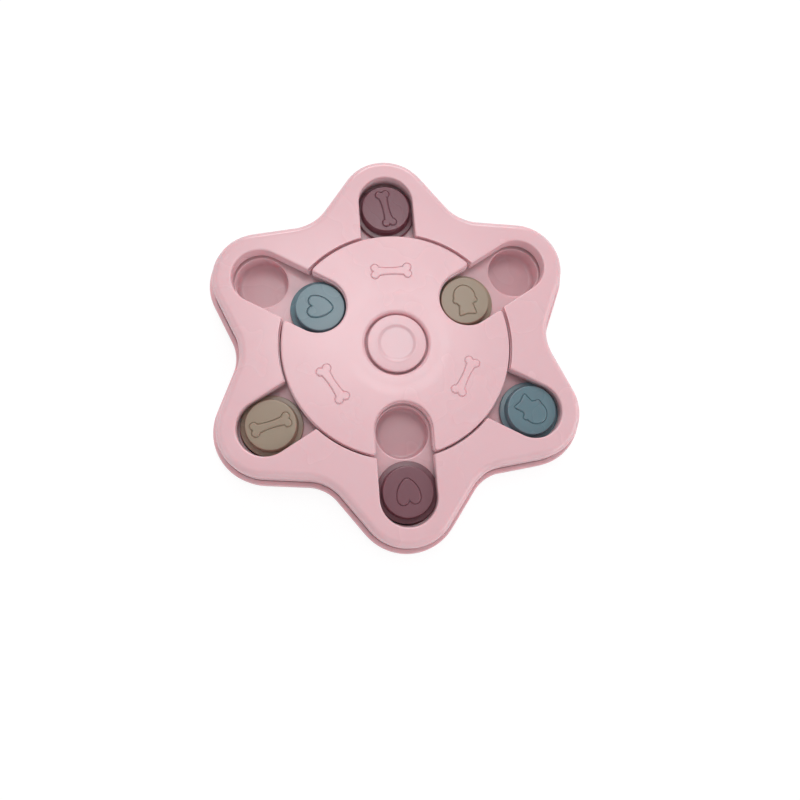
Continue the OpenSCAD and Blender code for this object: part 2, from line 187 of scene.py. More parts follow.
def to_flat(radius, rise, steps=4):
    """A quarter circle from upright to flat, as (inwards, up) steps. rise is 1 or, for down, -1."""
    turn = [math.pi / 2 * i / steps for i in range(steps + 1)]
    return [(radius * (math.cos(a) - math.cos(b)), rise * radius * (math.sin(b) - math.sin(a)))
            for a, b in zip(turn, turn[1:])]


def to_upright(radius, rise, steps=4):
    """A quarter circle from flat to upright."""
    turn = [math.pi / 2 * i / steps for i in range(steps + 1)]
    return [(radius * (math.sin(b) - math.sin(a)), rise * radius * (math.cos(a) - math.cos(b)))
            for a, b in zip(turn, turn[1:])]


def soft_step(width, rise, steps):
    """An S-shaped slope between two flats."""
    level = [rise * (1 - math.cos(math.pi * i / steps)) / 2 for i in range(steps + 1)]
    return [(width / steps, b - a) for a, b in zip(level, level[1:])]


print("a 1 mm edge in two steps:", [(round(a, 2), round(b, 2)) for a, b in to_flat(1, 1, 2)])

# %% [markdown]
# ## Working on one face
# Each profile is carried by one selected face, so these helpers select a face, copy it, take it away or
# fill between the rims that are left. The fill goes between all open rims at one height at once, and so
# it leaves every hole open.

# %% Faces and rims
MERGE, SMOOTH = 0.02 * MM, math.radians(35)


def follow(profile, facing=1):
    """Carries the selected face along a profile, in millimetres."""
    for inwards, up in profile:
        bpy.ops.mesh.inset(thickness=inwards * MM, depth=facing * up * MM, use_even_offset=True)


def open_cap():
    """Takes the carried face away and leaves its rim."""
    bpy.ops.mesh.delete(type="ONLY_FACE")


def twin_face():
    """A copy of the selected face that looks the other way, for the profile below the outline."""
    bpy.ops.mesh.duplicate()
    bpy.ops.mesh.flip_normals()


def pick_face(z, facing):
    """Selects the largest face at a height that looks up or down."""
    bpy.ops.mesh.select_all(action="DESELECT")
    bpy.ops.mesh.select_mode(type="FACE")
    mesh = bmesh.from_edit_mesh(bpy.context.object.data)
    faces = [f for f in mesh.faces
             if f.normal.z * facing > 0.9 and abs(f.calc_center_median().z - z * MM) < FINE]
    largest = max(faces, key=lambda f: f.calc_area())
    largest.select_set(True)
    mesh.faces.active = largest
    bmesh.update_edit_mesh(bpy.context.object.data)


def disc(centre, radius, z, steps=96, facing=1):
    """A round face, alone selected."""
    bpy.ops.mesh.select_all(action="DESELECT")
    bpy.ops.mesh.primitive_circle_add(vertices=steps, radius=radius * MM, fill_type="NGON",
                                      location=(centre[0] * MM, centre[1] * MM, z * MM))
    bpy.ops.mesh.select_mode(type="FACE")
    look(facing)


def fill_level(z, facing=1):
    """Fills between all open rims at one height, which leaves the holes open."""
    bpy.ops.mesh.select_mode(type="EDGE")
    bpy.ops.mesh.select_all(action="DESELECT")
    mesh = bmesh.from_edit_mesh(bpy.context.object.data)
    for edge in mesh.edges:
        if len(edge.link_faces) < 2 and all(abs(v.co.z - z * MM) < FINE for v in edge.verts):
            edge.select_set(True)
    bmesh.update_edit_mesh(bpy.context.object.data)
    bpy.ops.mesh.fill(use_beauty=True)
    look(facing)


def end_piece():
    """Merges what meets, turns all faces outwards and smooths all but the sharp edges."""
    bpy.ops.mesh.select_mode(type="VERT")
    bpy.ops.mesh.select_all(action="SELECT")
    bpy.ops.mesh.remove_doubles(threshold=MERGE)
    bpy.ops.mesh.normals_make_consistent(inside=False)
    bpy.ops.object.mode_set(mode="OBJECT")
    bpy.ops.object.shade_smooth_by_angle(angle=SMOOTH)
    piece = bpy.context.object
    mesh = bmesh.new()
    mesh.from_mesh(piece.data)
    loose = sum(1 for e in mesh.edges if len(e.link_faces) != 2)
    volume = round(mesh.calc_volume() / MM ** 3)
    print(piece.name, len(mesh.faces), "faces,", loose, "open edges, volume", volume, "mm3")
    mesh.free()
    return piece


# %% [markdown]
# ## The star
# Six lobes and six hollows, each an arc of a circle, are joined by short straight flanks that touch
# both, so the outline has no kink. Where a flank starts follows from the two circles, as it does on a
# drawing board.

# %% The star's outline
LOBES = 6
LOBE_REACH, LOBE_R, VALLEY_R, VALLEY_REACH = 92.3, 29.1, 28.0, 122.2
COVER_TOP, TRACK_Z, LIP_Z = 26.0, 14.5, 17.4
LOBE_ANGLES = [30 + 60 * k for k in range(LOBES)]


def star(grow, z):
    """Draws the star's outline, grown by some millimetres, as one face that looks up."""
    to_valley = Vector(polar(VALLEY_REACH, 30)) - Vector((LOBE_REACH, 0))
    lean = math.atan2(to_valley.y, to_valley.x)
    swing = math.degrees(lean - math.acos((LOBE_R + VALLEY_R) / to_valley.length))
    tip, hollow = polar(LOBE_R + grow, swing), polar(grow - VALLEY_R, swing)
    flank = to_valley + Vector(hollow) - Vector(tip)
    pen(*turned((LOBE_REACH + tip[0], -tip[1]), LOBE_ANGLES[0]), z)
    for angle in LOBE_ANGLES:
        arc(polar(LOBE_REACH, angle), z, 2 * swing, 34)
        line(*turned(flank, angle))
        arc(polar(VALLEY_REACH, angle + 30), z, 60 - 2 * swing, 18)
        line(*turned((-flank.x, flank.y), angle + 60))
    close_outline()


print("the cover is", round(2 * (LOBE_REACH + LOBE_R), 1), "mm wide over two lobes")

# %% [markdown]
# ## The base shell
# The lower half of the case is a shallow pan. Its rim stands out past the cover and has a rounded edge,
# and its foot is rounded more. Screw posts rise from its floor, and its underside has seats for the
# feet and the screws. The pan is drawn once at its widest place, then carried up and over the rim into
# the pan, and down under the foot.

# %% Base shell
BASE_FLARE, BASE_WALL, FLOOR_TOP, RIM_Z, UNDERSIDE = 3.6, 2.9, 2.6, 11.0, 1.0
RIM_EDGE, BASE_EDGE, PAN_CURVE = 0.8, 2.0, 1.0
SCREW_REACH, POST_R, POST_TOP = 84.0, 4.9, 12.7
SCREW_HOLE_R, SCREW_SEAT_Z, RECESS_R = 1.8, 3.25, 3.25
FOOT_R, FOOT_PLAY, FOOT_SEAT_Z = 7.0, 0.15, 1.6
SCREW_ANGLES = [60 * k for k in range(LOBES)]

base = start_piece("base_shell_moulded")
star(BASE_FLARE, RIM_Z - RIM_EDGE)
twin_face()
follow([(0, UNDERSIDE + BASE_EDGE - RIM_Z + RIM_EDGE)] + to_flat(BASE_EDGE, -1, 7) + [(0.4, 0)], facing=-1)
open_cap()
pick_face(RIM_Z - RIM_EDGE, 1)
follow(to_flat(RIM_EDGE, 1) + [(BASE_WALL - RIM_EDGE - EASE, 0)] + to_upright(EASE, -1, 2)
       + [(0, FLOOR_TOP + PAN_CURVE - RIM_Z + EASE)] + to_flat(PAN_CURVE, -1) + [(0.4, 0)])
open_cap()
for angle in SCREW_ANGLES:
    place = polar(SCREW_REACH, angle)
    disc(place, POST_R + EASE, FLOOR_TOP, 32)
    follow([(EASE, 0), (0, POST_TOP - EASE - FLOOR_TOP)] + to_flat(EASE, 1, 2)
           + [(POST_R - EASE - SCREW_HOLE_R, 0), (0, SCREW_SEAT_Z - POST_TOP)])
    open_cap()
    disc(place, RECESS_R + 2 * EASE, UNDERSIDE, 32, facing=-1)
    follow([(EASE, 0)] + to_upright(EASE, 1, 2)
           + [(0, SCREW_SEAT_Z - UNDERSIDE - EASE), (RECESS_R - SCREW_HOLE_R, 0)], facing=-1)
    open_cap()
for angle in LOBE_ANGLES:
    disc(polar(LOBE_REACH, angle), FOOT_R + FOOT_PLAY + 2 * EASE, UNDERSIDE, 48, facing=-1)
    follow([(EASE, 0)] + to_upright(EASE, 1, 2) + [(0, FOOT_SEAT_Z - UNDERSIDE - EASE)], facing=-1)
fill_level(FLOOR_TOP)
fill_level(UNDERSIDE, -1)
end_piece()

# %% [markdown]
# ## The feet
# Soft rubber pads, pressed into the seats. A shallow ring in the sole gives grip, as on most such feet.

# %% Foot pads
SOLE_EDGE, SOLE_RING, RING_DEPTH = 0.5, 0.6, 0.35
feet = []
for number, angle in enumerate(LOBE_ANGLES, 1):
    foot = start_piece(f"foot_pad_{number}_rubber")
    disc(polar(LOBE_REACH, angle), FOOT_R, SOLE_EDGE, 48)
    twin_face()
    follow(to_flat(SOLE_EDGE, -1) + [(0.9, 0)] + soft_step(SOLE_RING, RING_DEPTH, 4) + [(SOLE_RING, 0)]
           + soft_step(SOLE_RING, -RING_DEPTH, 4) + [(SOLE_RING, 0)], facing=-1)
    pick_face(SOLE_EDGE, 1)
    follow([(0, FOOT_SEAT_Z - SOLE_EDGE - 0.1), (0.1, 0.1), (0.5, 0)])
    feet.append(end_piece())

# %% [markdown]
# ## The food tray
# One plate carries twelve cups and the bearing that the turntable runs in. A cup's rim is rounded, so
# that a flange slides over it, and a wide curve between wall and floor lets a tongue reach the last
# crumb. The cups are pressed into the plate's top, and their outsides stand out of its underside.

# %% Food tray
TRACK_UNDER, TRAY_MARGIN, CUP_REACH, CUP_R, CUP_FLOOR_Z = 12.7, 2.8, 53.1, 16.0, 3.8
CUP_RIM, CUP_CURVE, CUP_WALL, OUTER_CURVE = 0.8, 2.8, 1.6, 3.0
BEARING_R, BEARING_OUT, BEARING_LOW, BEARING_TOP = 21.78, 23.38, 5.0, 17.1
plate_middle, bearing_land = (TRACK_Z + TRACK_UNDER) / 2, BEARING_OUT - BEARING_R - 2 * EASE

tray = start_piece("food_tray_moulded")
star(-TRAY_MARGIN, plate_middle)
twin_face()
follow([(0, TRACK_UNDER + EASE - plate_middle)] + to_flat(EASE, -1, 2) + [(EASE, 0)], facing=-1)
open_cap()
pick_face(plate_middle, 1)
follow([(0, TRACK_Z - EASE - plate_middle)] + to_flat(EASE, 1, 2) + [(EASE, 0)])
open_cap()
for angle in LOBE_ANGLES:
    for reach in (CUP_REACH, LOBE_REACH):
        place = polar(reach, angle)
        disc(place, CUP_R + CUP_RIM + 0.4, TRACK_Z)
        follow([(0.4, 0)] + to_upright(CUP_RIM, -1, 5) + [(0, CUP_FLOOR_Z + CUP_CURVE - TRACK_Z + CUP_RIM)]
               + to_flat(CUP_CURVE, -1, 9) + [(0.6, 0)])
        disc(place, CUP_R + CUP_WALL + EASE, TRACK_UNDER, 64, facing=-1)
        follow([(EASE, 0), (0, FLOOR_TOP + OUTER_CURVE - TRACK_UNDER)] + to_flat(OUTER_CURVE, -1, 5)
               + [(0.6, 0)], facing=-1)
for angle in SCREW_ANGLES:
    disc(polar(SCREW_REACH, angle), SCREW_HOLE_R, TRACK_Z, 32)
    follow([(0, TRACK_UNDER - TRACK_Z)])
    open_cap()
disc((0, 0), BEARING_OUT + EASE, TRACK_Z)
follow([(EASE, 0), (0, BEARING_TOP - EASE - TRACK_Z)] + to_flat(EASE, 1, 2) + [(bearing_land, 0)]
       + to_upright(EASE, -1, 2) + [(0, BEARING_LOW + 2 * EASE - BEARING_TOP)])
open_cap()
disc((0, 0), BEARING_OUT + EASE, TRACK_UNDER, facing=-1)
follow([(EASE, 0), (0, BEARING_LOW + EASE - TRACK_UNDER)] + to_flat(EASE, -1, 2) + [(bearing_land, 0)]
       + to_upright(EASE, 1, 2), facing=-1)
open_cap()
fill_level(TRACK_Z)
fill_level(TRACK_UNDER, -1)
end_piece()

# %% [markdown]
# ## The cover's opening
# The hole in the cover is one outline, like a cogwheel with long teeth: the arc of the opening, a small
# rounded corner, a slot's side, its round end, and back. Seven holes cut one after the other would
# leave sharp points where they cross, and one path has its corners rounded from the start.

# %% The opening's outline
SLOT_HALF, OPENING_R = 17.0, 70.3


def slot_corner(half, opening, corner):
    """The round corner where a slot's side meets the opening: its centre and the angle it lies at."""
    y = half + corner
    x = math.sqrt((opening + corner) ** 2 - y ** 2)
    return (x, y), math.degrees(math.atan2(y, x))


def cogwheel(grow, z, corner, facing=1):
    """Draws the cover's hole, grown by some millimetres."""
    half, opening = SLOT_HALF + grow, OPENING_R + grow
    (cx, cy), lean = slot_corner(half, opening, corner)
    pen(*polar(opening, LOBE_ANGLES[0] - lean), z)
    for angle in LOBE_ANGLES:
        arc(turned((cx, -cy), angle), z, lean - 90, 5)
        out = turned((LOBE_REACH - cx, 0), angle)
        line(*out)
        arc(polar(LOBE_REACH, angle), z, 180, 40)
        line(-out[0], -out[1])
        arc(turned((cx, cy), angle), z, lean - 90, 5)
        arc((0, 0), z, 60 - 2 * lean, 16)
    close_outline(facing)


mouth = slot_corner(SLOT_HALF, OPENING_R, 0)[1]
print("a slot takes up", round(2 * mouth, 1), "degrees of the opening")

# %% [markdown]
# ## The top cover
# The cover is a thin shell with a wide rounded edge, a bead above the parting groove, and a lip that
# turns down round the opening and the slots. It is drawn at the bead, its widest place. One profile goes
# up over the rounded edge, and the other goes down, under the rim and up inside the wall to the skin.

# %% Top cover
LIP_WALL, SKIN_Z, COVER_LOW, COVER_WALL, INNER_CURVE = 1.8, 23.6, 8.4, 2.4, 0.5
EDGE_R, SLOT_EDGE, BEAD_Z, BEAD, BEAD_FILLET = 5.0, 0.9, 11.65, 0.35, 0.15
COVER_POST_R, PILOT_R, PILOT_DEPTH = 4.0, 1.5, 6.0
bead_half = BEAD + BEAD_FILLET

cover = start_piece("top_cover_moulded")
star(bead_half, BEAD_Z)
twin_face()
follow(to_flat(BEAD, -1, 3) + to_upright(BEAD_FILLET, -1, 2) + [(0, COVER_LOW + EASE + bead_half - BEAD_Z)]
       + to_flat(EASE, -1, 2) + [(COVER_WALL - 2 * EASE, 0)] + to_upright(EASE, 1, 2)
       + [(0, SKIN_Z - INNER_CURVE - COVER_LOW - EASE)] + to_flat(INNER_CURVE, 1, 3) + [(EASE, 0)],
       facing=-1)
open_cap()
pick_face(BEAD_Z, 1)
follow(to_flat(BEAD, 1, 3) + to_upright(BEAD_FILLET, 1, 2)
       + [(0, COVER_TOP - EDGE_R - BEAD_Z - bead_half)] + to_flat(EDGE_R, 1, 14) + [(0.5, 0)])
open_cap()
cogwheel(SLOT_EDGE + 0.2, COVER_TOP, 0.2)
follow([(0.2, 0)] + to_upright(SLOT_EDGE, -1, 5) + [(0, LIP_Z - COVER_TOP + SLOT_EDGE)])
open_cap()
cogwheel(LIP_WALL + EASE, SKIN_Z, 0.1, facing=-1)
follow([(EASE, 0), (0, LIP_Z + EASE - SKIN_Z)] + to_flat(EASE, -1, 2) + [(EASE, 0)], facing=-1)
open_cap()
for angle in SCREW_ANGLES:
    disc(polar(SCREW_REACH, angle), COVER_POST_R + EASE, SKIN_Z, 32, facing=-1)
    follow([(EASE, 0), (0, TRACK_Z - SKIN_Z), (COVER_POST_R - PILOT_R, 0), (0, PILOT_DEPTH)], facing=-1)
fill_level(COVER_TOP)
fill_level(SKIN_Z, -1)
fill_level(LIP_Z, -1)
end_piece()

# %% [markdown]
# ## The rebate
# A fine step runs round the opening, so that the gap to the turntable looks even. It crosses the mouths
# of the slots. A cylinder taken away from the cover makes it in one cut, as a lathe would in the mould.

# %% Rebate round the opening
REBATE_R, REBATE_Z, CUTTER_HIGH = 70.9, 22.6, 6.0


def cut_away(piece, cutter):
    """Takes one solid out of another and clears the tool away."""
    cut = piece.modifiers.new("cut", "BOOLEAN")
    cut.operation, cut.solver, cut.object = "DIFFERENCE", "EXACT", cutter
    bpy.ops.object.select_all(action="DESELECT")
    bpy.context.view_layer.objects.active = piece
    piece.select_set(True)
    bpy.ops.object.modifier_apply(modifier="cut")
    bpy.ops.object.shade_smooth_by_angle(angle=SMOOTH)
    bpy.data.objects.remove(cutter)
    print(piece.name, "has", len(piece.data.polygons), "faces after the cut")


bpy.ops.object.select_all(action="DESELECT")
bpy.ops.mesh.primitive_cylinder_add(vertices=240, radius=REBATE_R * MM, depth=CUTTER_HIGH * MM,
                                    location=(0, 0, (REBATE_Z + CUTTER_HIGH / 2) * MM))
cut_away(cover, bpy.context.object)

# %% [markdown]
# ## Paths for the figures
# A figure is a closed path of lines and arcs. Where two arcs meet, the crossing of their circles is
# worked out, so the pen turns the corner in the right place. An arc gets one chord for about every 0.4 mm,
# which looks round even from near.

# %% Paths of lines and arcs
CHORD = 0.4


def crossing(first, first_r, second, second_r, side):
    """Where two circles cross, on the left of the way from first to second or, for -1, the right."""
    a, b = Vector(first), Vector(second)
    away = (b - a).length
    along = (first_r ** 2 - second_r ** 2 + away ** 2) / (2 * away)
    across = math.sqrt(first_r ** 2 - along ** 2) * side
    ahead = (b - a) / away
    return tuple(a + ahead * along + Vector((-ahead.y, ahead.x)) * across)


def line_crossing(start, end, centre, radius):
    """The point where a line from start first enters a circle."""
    s, e, c = Vector(start), Vector(end), Vector(centre)
    ahead = (e - s).normalized()
    along = (c - s).dot(ahead)
    miss = (c - s - ahead * along).length
    return tuple(s + ahead * (along - math.sqrt(radius ** 2 - miss ** 2)))


def draw(start, path, place, angle, z):
    """Draws a closed path: each entry is an end, and for an arc also its centre and its way round."""
    def put(point):
        x, y = turned(point, angle)
        return place[0] + x, place[1] + y

    pen(*put(start), z)
    here = start
    for end, *bend in path:
        if bend:
            centre, way = bend
            a, b = (math.degrees(math.atan2(p[1] - centre[1], p[0] - centre[0])) for p in (here, end))
            sweep = (b - a) % 360 if way > 0 else -((a - b) % 360)
            chords = math.radians(abs(sweep)) * math.dist(end, centre) / CHORD
            arc(put(centre), z, sweep, max(3, math.ceil(chords)))
        else:
            line(*turned((end[0] - here[0], end[1] - here[1]), angle))
        here = end
    close_outline()


def round_corner(before, corner, after, radius):
    """Two entries for a corner that is turned on an arc between its two sides."""
    c = Vector(corner)
    u, v = (Vector(before) - c).normalized(), (Vector(after) - c).normalized()
    half = u.angle(v) / 2
    centre = c + (u + v).normalized() * (radius / math.sin(half))
    way = 1 if u.x * v.y < u.y * v.x else -1
    back = radius / math.tan(half)
    return [(tuple(c + u * back),), (tuple(c + v * back), tuple(centre), way)]


print("two unit circles 1 apart cross at", [round(v, 3) for v in crossing((0, 0), 1, (1, 0), 1, 1)])

# %% [markdown]
# ## Bones, hearts and fish
# The figures stand a little out of the plastic, in a fine groove, as a mould maker cuts them. Each is
# worked out from one length, so that it keeps its proportions at any size. FIGURE is the section of a
# figure's edge from its outline inwards: down the groove's outer side, across its floor, and up to a
# rounded edge that ends a little above the face.

# %% Figures
def bone(length):
    """Two balls at each end and two long hollow sides."""
    ball, gap, side = 0.115 * length, 0.085 * length, 1.6 * length
    span = length / 2 - ball
    middle = (0, side + 0.1 * length)
    neck = crossing(middle, side, (span, gap), ball, 1)
    neck = min(neck, crossing(middle, side, (span, gap), ball, -1))
    notch = (span + math.sqrt(ball ** 2 - gap ** 2), 0)
    upper = [(neck, (span, gap), 1), ((-neck[0], neck[1]), middle, -1), ((-notch[0], 0), (-span, gap), 1)]
    lower = [((-x, -y), (-cx, -cy), way) for (x, y), (cx, cy), way in upper]
    return notch, upper + lower


def heart(width):
    """Two lobes and a round tip, joined by wide arcs that touch them from outside."""
    ball, tip_r, side_r = 0.27 * width, 0.21 * width, 0.9 * width
    lobe, tip = Vector((-0.26 * width, 0.23 * width)), Vector((0.35 * width, 0))
    middle = Vector(crossing(lobe, side_r - ball, tip, side_r - tip_r, -1))
    leave, meet = lobe + (lobe - middle).normalized() * ball, tip + (tip - middle).normalized() * tip_r
    notch = (lobe.x - math.sqrt(ball ** 2 - lobe.y ** 2), 0)
    return notch, [((leave.x, -leave.y), (lobe.x, -lobe.y), 1),
                   ((meet.x, -meet.y), (middle.x, -middle.y), 1),
                   (tuple(meet), tuple(tip), 1),
                   (tuple(leave), tuple(middle), 1),
                   (notch, tuple(lobe), 1)]


def fish(length):
    """A round body of two wide arcs, a fin above and below, and a forked tail."""
    half = length / 2
    body, middle, fin = 0.77 * half, 0.07 * half, 0.21 * half
    x = half - math.sqrt(body ** 2 - middle ** 2)
    under, over = (x, -middle), (x, middle)
    back, belly = (0.04 * half, 0.57 * half), (-0.04 * half, -0.56 * half)
    tail, tail_notch = (-half, 0.6 * half), (-0.88 * half, 0)
    low_tail = (tail[0], -tail[1])
    root = line_crossing(tail, (-0.25 * half, 0.46 * half), under, body)
    low_root = (root[0], -root[1])
    nose = (half, 0)
    return nose, [(crossing(under, body, back, fin, -1), under, 1),
                  (crossing(under, body, back, fin, 1), back, 1),
                  (root, under, 1),
                  *round_corner(root, tail, tail_notch, 0.13 * half),
                  (tail_notch,),
                  *round_corner(tail_notch, low_tail, low_root, 0.13 * half),
                  (low_root,),
                  (crossing(over, body, belly, fin, -1), over, 1),
                  (crossing(over, body, belly, fin, 1), belly, 1),
                  (nose, over, 1)]


FIGURE = [(0.05, 0), (0.28, -0.3), (0.1, -0.12), (0.1, 0), (0.12, 0.3), (0.17, 0.35), (0.25, 0.25),
          (0.2, 0.07), (0.08, 0)]


def raised(figure, place, angle, z):
    """A groove round the figure, and the figure itself a little proud of the face."""
    draw(*figure, place, angle, z)
    follow(FIGURE)


print("figures stand", round(sum(up for inwards, up in FIGURE), 2), "mm proud of their face")

# %% [markdown]
# ## The turntable's outline
# The disc has three slots that are open at its rim, at every second lobe. Its outline runs along the
# rim, round a small corner into a slot, round the slot's end and out again.

# %% The turntable's outline
DISC_R, DISC_CORNER = 69.7, 2.3
DISC_SLOTS, DISC_LANDS = (30, 150, 270), (90, 210, 330)


def disc_outline(z):
    """Draws the turntable's outline as one face that looks up."""
    y = SLOT_HALF + DISC_CORNER
    x = math.sqrt((DISC_R - DISC_CORNER) ** 2 - y ** 2)
    lean = math.degrees(math.atan2(y, x))
    pen(*polar(DISC_R, DISC_SLOTS[-1] - 360 + lean), z)
    for angle in DISC_SLOTS:
        arc((0, 0), z, 120 - 2 * lean, 60)
        arc(turned((x, -y), angle), z, 90 + lean, 8)
        inward = turned((CUP_REACH - x, 0), angle)
        line(*inward)
        arc(polar(CUP_REACH, angle), z, -180, 40)
        line(-inward[0], -inward[1])
        arc(turned((x, y), angle), z, 90 + lean, 8)
    close_outline()


print("gap between turntable and cover:", round(OPENING_R - DISC_R, 2), "mm")

# %% [markdown]
# ## The turntable
# A small step runs round the rim and the slots of the disc, and its top sinks very slightly towards the
# button, as moulded discs do over their hub. The hub below turns in the tray's bearing. It has an
# undercut, which no inset can make, so its section is drawn and spun. A rib stiffens each land between
# two slots, and a bone lies on it.

# %% Turntable
DISC_TOP, DISC_UNDER, DISC_EDGE_Z, DISC_EDGE = 25.7, 23.1, 22.4, 0.8
DISH_R, DISH_SLOPE, DISH_DEPTH, HOLE_CURVE = 33.0, 7.6, 0.3, 2.2
BUTTON_HOLE_R, COLLAR_Z, HUB_BORE_R, HUB_R, HUB_LOW, SHOULDER_W = 19.2, 21.1, 20.2, 21.7, 4.7, 3.6
RIB_IN, RIB_OUT, RIB_HALF, DISC_BONE, DISC_BONE_REACH = 27, 66, 0.8, 26, 46

turntable = start_piece("turntable_moulded")
disc_outline(DISC_EDGE_Z)
twin_face()
follow([(0, LIP_Z + EASE - DISC_EDGE_Z)] + to_flat(EASE, -1, 2) + [(LIP_WALL - 2 * EASE, 0)]
       + to_upright(EASE, 1, 2) + [(0, DISC_UNDER - LIP_Z - EASE)], facing=-1)
open_cap()
pick_face(DISC_EDGE_Z, 1)
follow(to_flat(EASE, 1, 2) + [(0.2, 0), (0.1, 0.1), (0, DISC_TOP - DISC_EDGE - 0.1 - EASE - DISC_EDGE_Z)]
       + to_flat(DISC_EDGE, 1, 5) + [(EASE, 0)])
open_cap()
disc((0, 0), DISH_R + 0.4, DISC_TOP)
follow([(0.4, 0)] + soft_step(DISH_SLOPE, -DISH_DEPTH, 12)
       + [(DISH_R - DISH_SLOPE - HOLE_CURVE - BUTTON_HOLE_R, 0)] + to_upright(HOLE_CURVE, -1, 8)
       + [(0, COLLAR_Z - DISC_TOP + DISH_DEPTH + HOLE_CURVE)])
open_cap()
pen(BUTTON_HOLE_R, 0, COLLAR_Z)
for across, up in ((HUB_BORE_R - BUTTON_HOLE_R, 0), (0, HUB_LOW - COLLAR_Z), (HUB_R - HUB_BORE_R, 0),
                   (0, LIP_Z - HUB_LOW), (SHOULDER_W, 0), (0, LIP_WALL), (-SHOULDER_W, 0),
                   (0, DISC_UNDER - LIP_Z - LIP_WALL)):
    line(across, 0, up)
spin_section()
for angle in DISC_LANDS:
    corners = (RIB_IN, -RIB_HALF), (RIB_OUT, -RIB_HALF), (RIB_OUT, RIB_HALF), (RIB_IN, RIB_HALF)
    rib = [turned(corner, angle) for corner in corners]
    pen(*rib[0], DISC_UNDER)
    for a, b in zip(rib, rib[1:] + rib[:1]):
        line(b[0] - a[0], b[1] - a[1])
    close_outline(-1)
    follow([(0, -3.4), (0.2, -0.2)], facing=-1)
    raised(bone(DISC_BONE), polar(DISC_BONE_REACH, angle), angle + 90, DISC_TOP)
fill_level(DISC_TOP)
fill_level(DISC_UNDER, -1)
end_piece()

# %% [markdown]
# ## The button
# A round cap in a dark ring gap. Its flange is under the turntable's collar, so that it can't come out,
# and a soft dish in its top, with a very low ring round it, shows where to press.

# %% Centre button
BUTTON_R, BUTTON_FLANGE_R, BUTTON_BORE_R, BUTTON_EDGE, FLANGE_EASE = 17.7, 19.9, 15.9, 0.8, 0.2
BUTTON_LOW, FLANGE_SIDE_Z, BUTTON_CEILING_Z, BUTTON_TOP = 18.8, 20.6, 24.2, 26.0

button = start_piece("centre_button_moulded")
disc((0, 0), BUTTON_FLANGE_R, FLANGE_SIDE_Z)
twin_face()
follow([(0, BUTTON_LOW + FLANGE_EASE - FLANGE_SIDE_Z)] + to_flat(FLANGE_EASE, -1, 2)
       + [(BUTTON_FLANGE_R - BUTTON_BORE_R - 2 * FLANGE_EASE, 0)] + to_upright(FLANGE_EASE, 1, 2)
       + [(0, BUTTON_CEILING_Z - BUTTON_LOW - FLANGE_EASE)], facing=-1)
pick_face(FLANGE_SIDE_Z, 1)
follow(to_flat(FLANGE_EASE, 1, 2) + [(BUTTON_FLANGE_R - BUTTON_R - 2 * FLANGE_EASE, 0)]
       + to_upright(FLANGE_EASE, 1, 2) + [(0, BUTTON_TOP - BUTTON_EDGE - FLANGE_SIDE_Z - 2 * FLANGE_EASE)]
       + to_flat(BUTTON_EDGE, 1, 6) + [(4.1, 0)] + soft_step(0.9, 0.1, 4) + soft_step(2.4, -0.6, 10)
       + [(1.0, 0)])
end_piece()

# %% [markdown]
# ## The squeaker's bulb
# A rubber bulb under the button holds the air for the squeaker. It is open at its foot, and its wall has
# four soft folds, so that it gives way when the button is pressed. A turned part is drawn as half of its
# section and spun round its axis.

# %% Squeaker's bulb
BULB_R, BULB_WALL, BULB_TOP, BULB_EDGE = 13.8, 1.1, 23.9, 0.5
FOLDS, FOLD_DEPTH, FOLD_STEPS, PRESS = 4, 2.2, 12, 3.0
roof = BULB_TOP - BULB_WALL
wall = []
for i in range(FOLD_STEPS * FOLDS + 1):
    sink = FOLD_DEPTH * (1 - math.cos(WHOLE_TURN * i / FOLD_STEPS)) / 2
    wall.append((BULB_R - sink, HUB_LOW + (roof - HUB_LOW) * i / (FOLD_STEPS * FOLDS)))
section = [(0, roof)] + [(r - BULB_WALL, z) for r, z in reversed(wall)] + wall
for inwards, up in [(0, BULB_WALL - BULB_EDGE)] + to_flat(BULB_EDGE, 1):
    section.append((section[-1][0] - inwards, section[-1][1] + up))
section.append((0, BULB_TOP))

bulb = start_piece("squeaker_bellows_moulded")
pen(0, 0, roof)
for (near, low), (far, high) in zip(section, section[1:]):
    line(far - near, 0, high - low)
spin_section()
end_piece()

# %% [markdown]
# ## The sliding blocks
# Six round blocks, each a thin-walled cap on a flange. The flange runs under the slot's lips. The knob
# narrows a little to its top, so that it leaves its mould, and carries one figure. The frame says where
# each block rests, and the number after a figure is the angle that it lies at, in degrees.

# %% Blocks
FLANGE_R, FLANGE_Z, FLANGE_SIDE, FLANGE_EDGE, KNOB_R, KNOB_TOP = 18.5, 14.8, 1.8, 0.5, 15.4, 23.0
KNOB_FOOT, KNOB_EDGE, KNOB_DRAFT, HOLLOW_R, HOLLOW_EASE, CEILING_Z = 0.6, 0.5, 0.5, 12.3, 0.2, 20.4
knob_side = KNOB_TOP - KNOB_EDGE - KNOB_FOOT - FLANGE_EDGE - FLANGE_SIDE - FLANGE_Z
BLOCKS = {"bone_block_mauve": (bone(25), 100), "bone_block_taupe": (bone(25), 15),
          "heart_block_mauve": (heart(15), 94), "heart_block_blue": (heart(15), -8),
          "fish_block_taupe": (fish(21), 97), "fish_block_blue": (fish(21), -41)}


def centre_of(node):
    """The middle of a CAD node's box, seen from above."""
    low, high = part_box(node)
    return tuple((a + b) / 2 / MM for a, b in zip(low[:2], high[:2]))


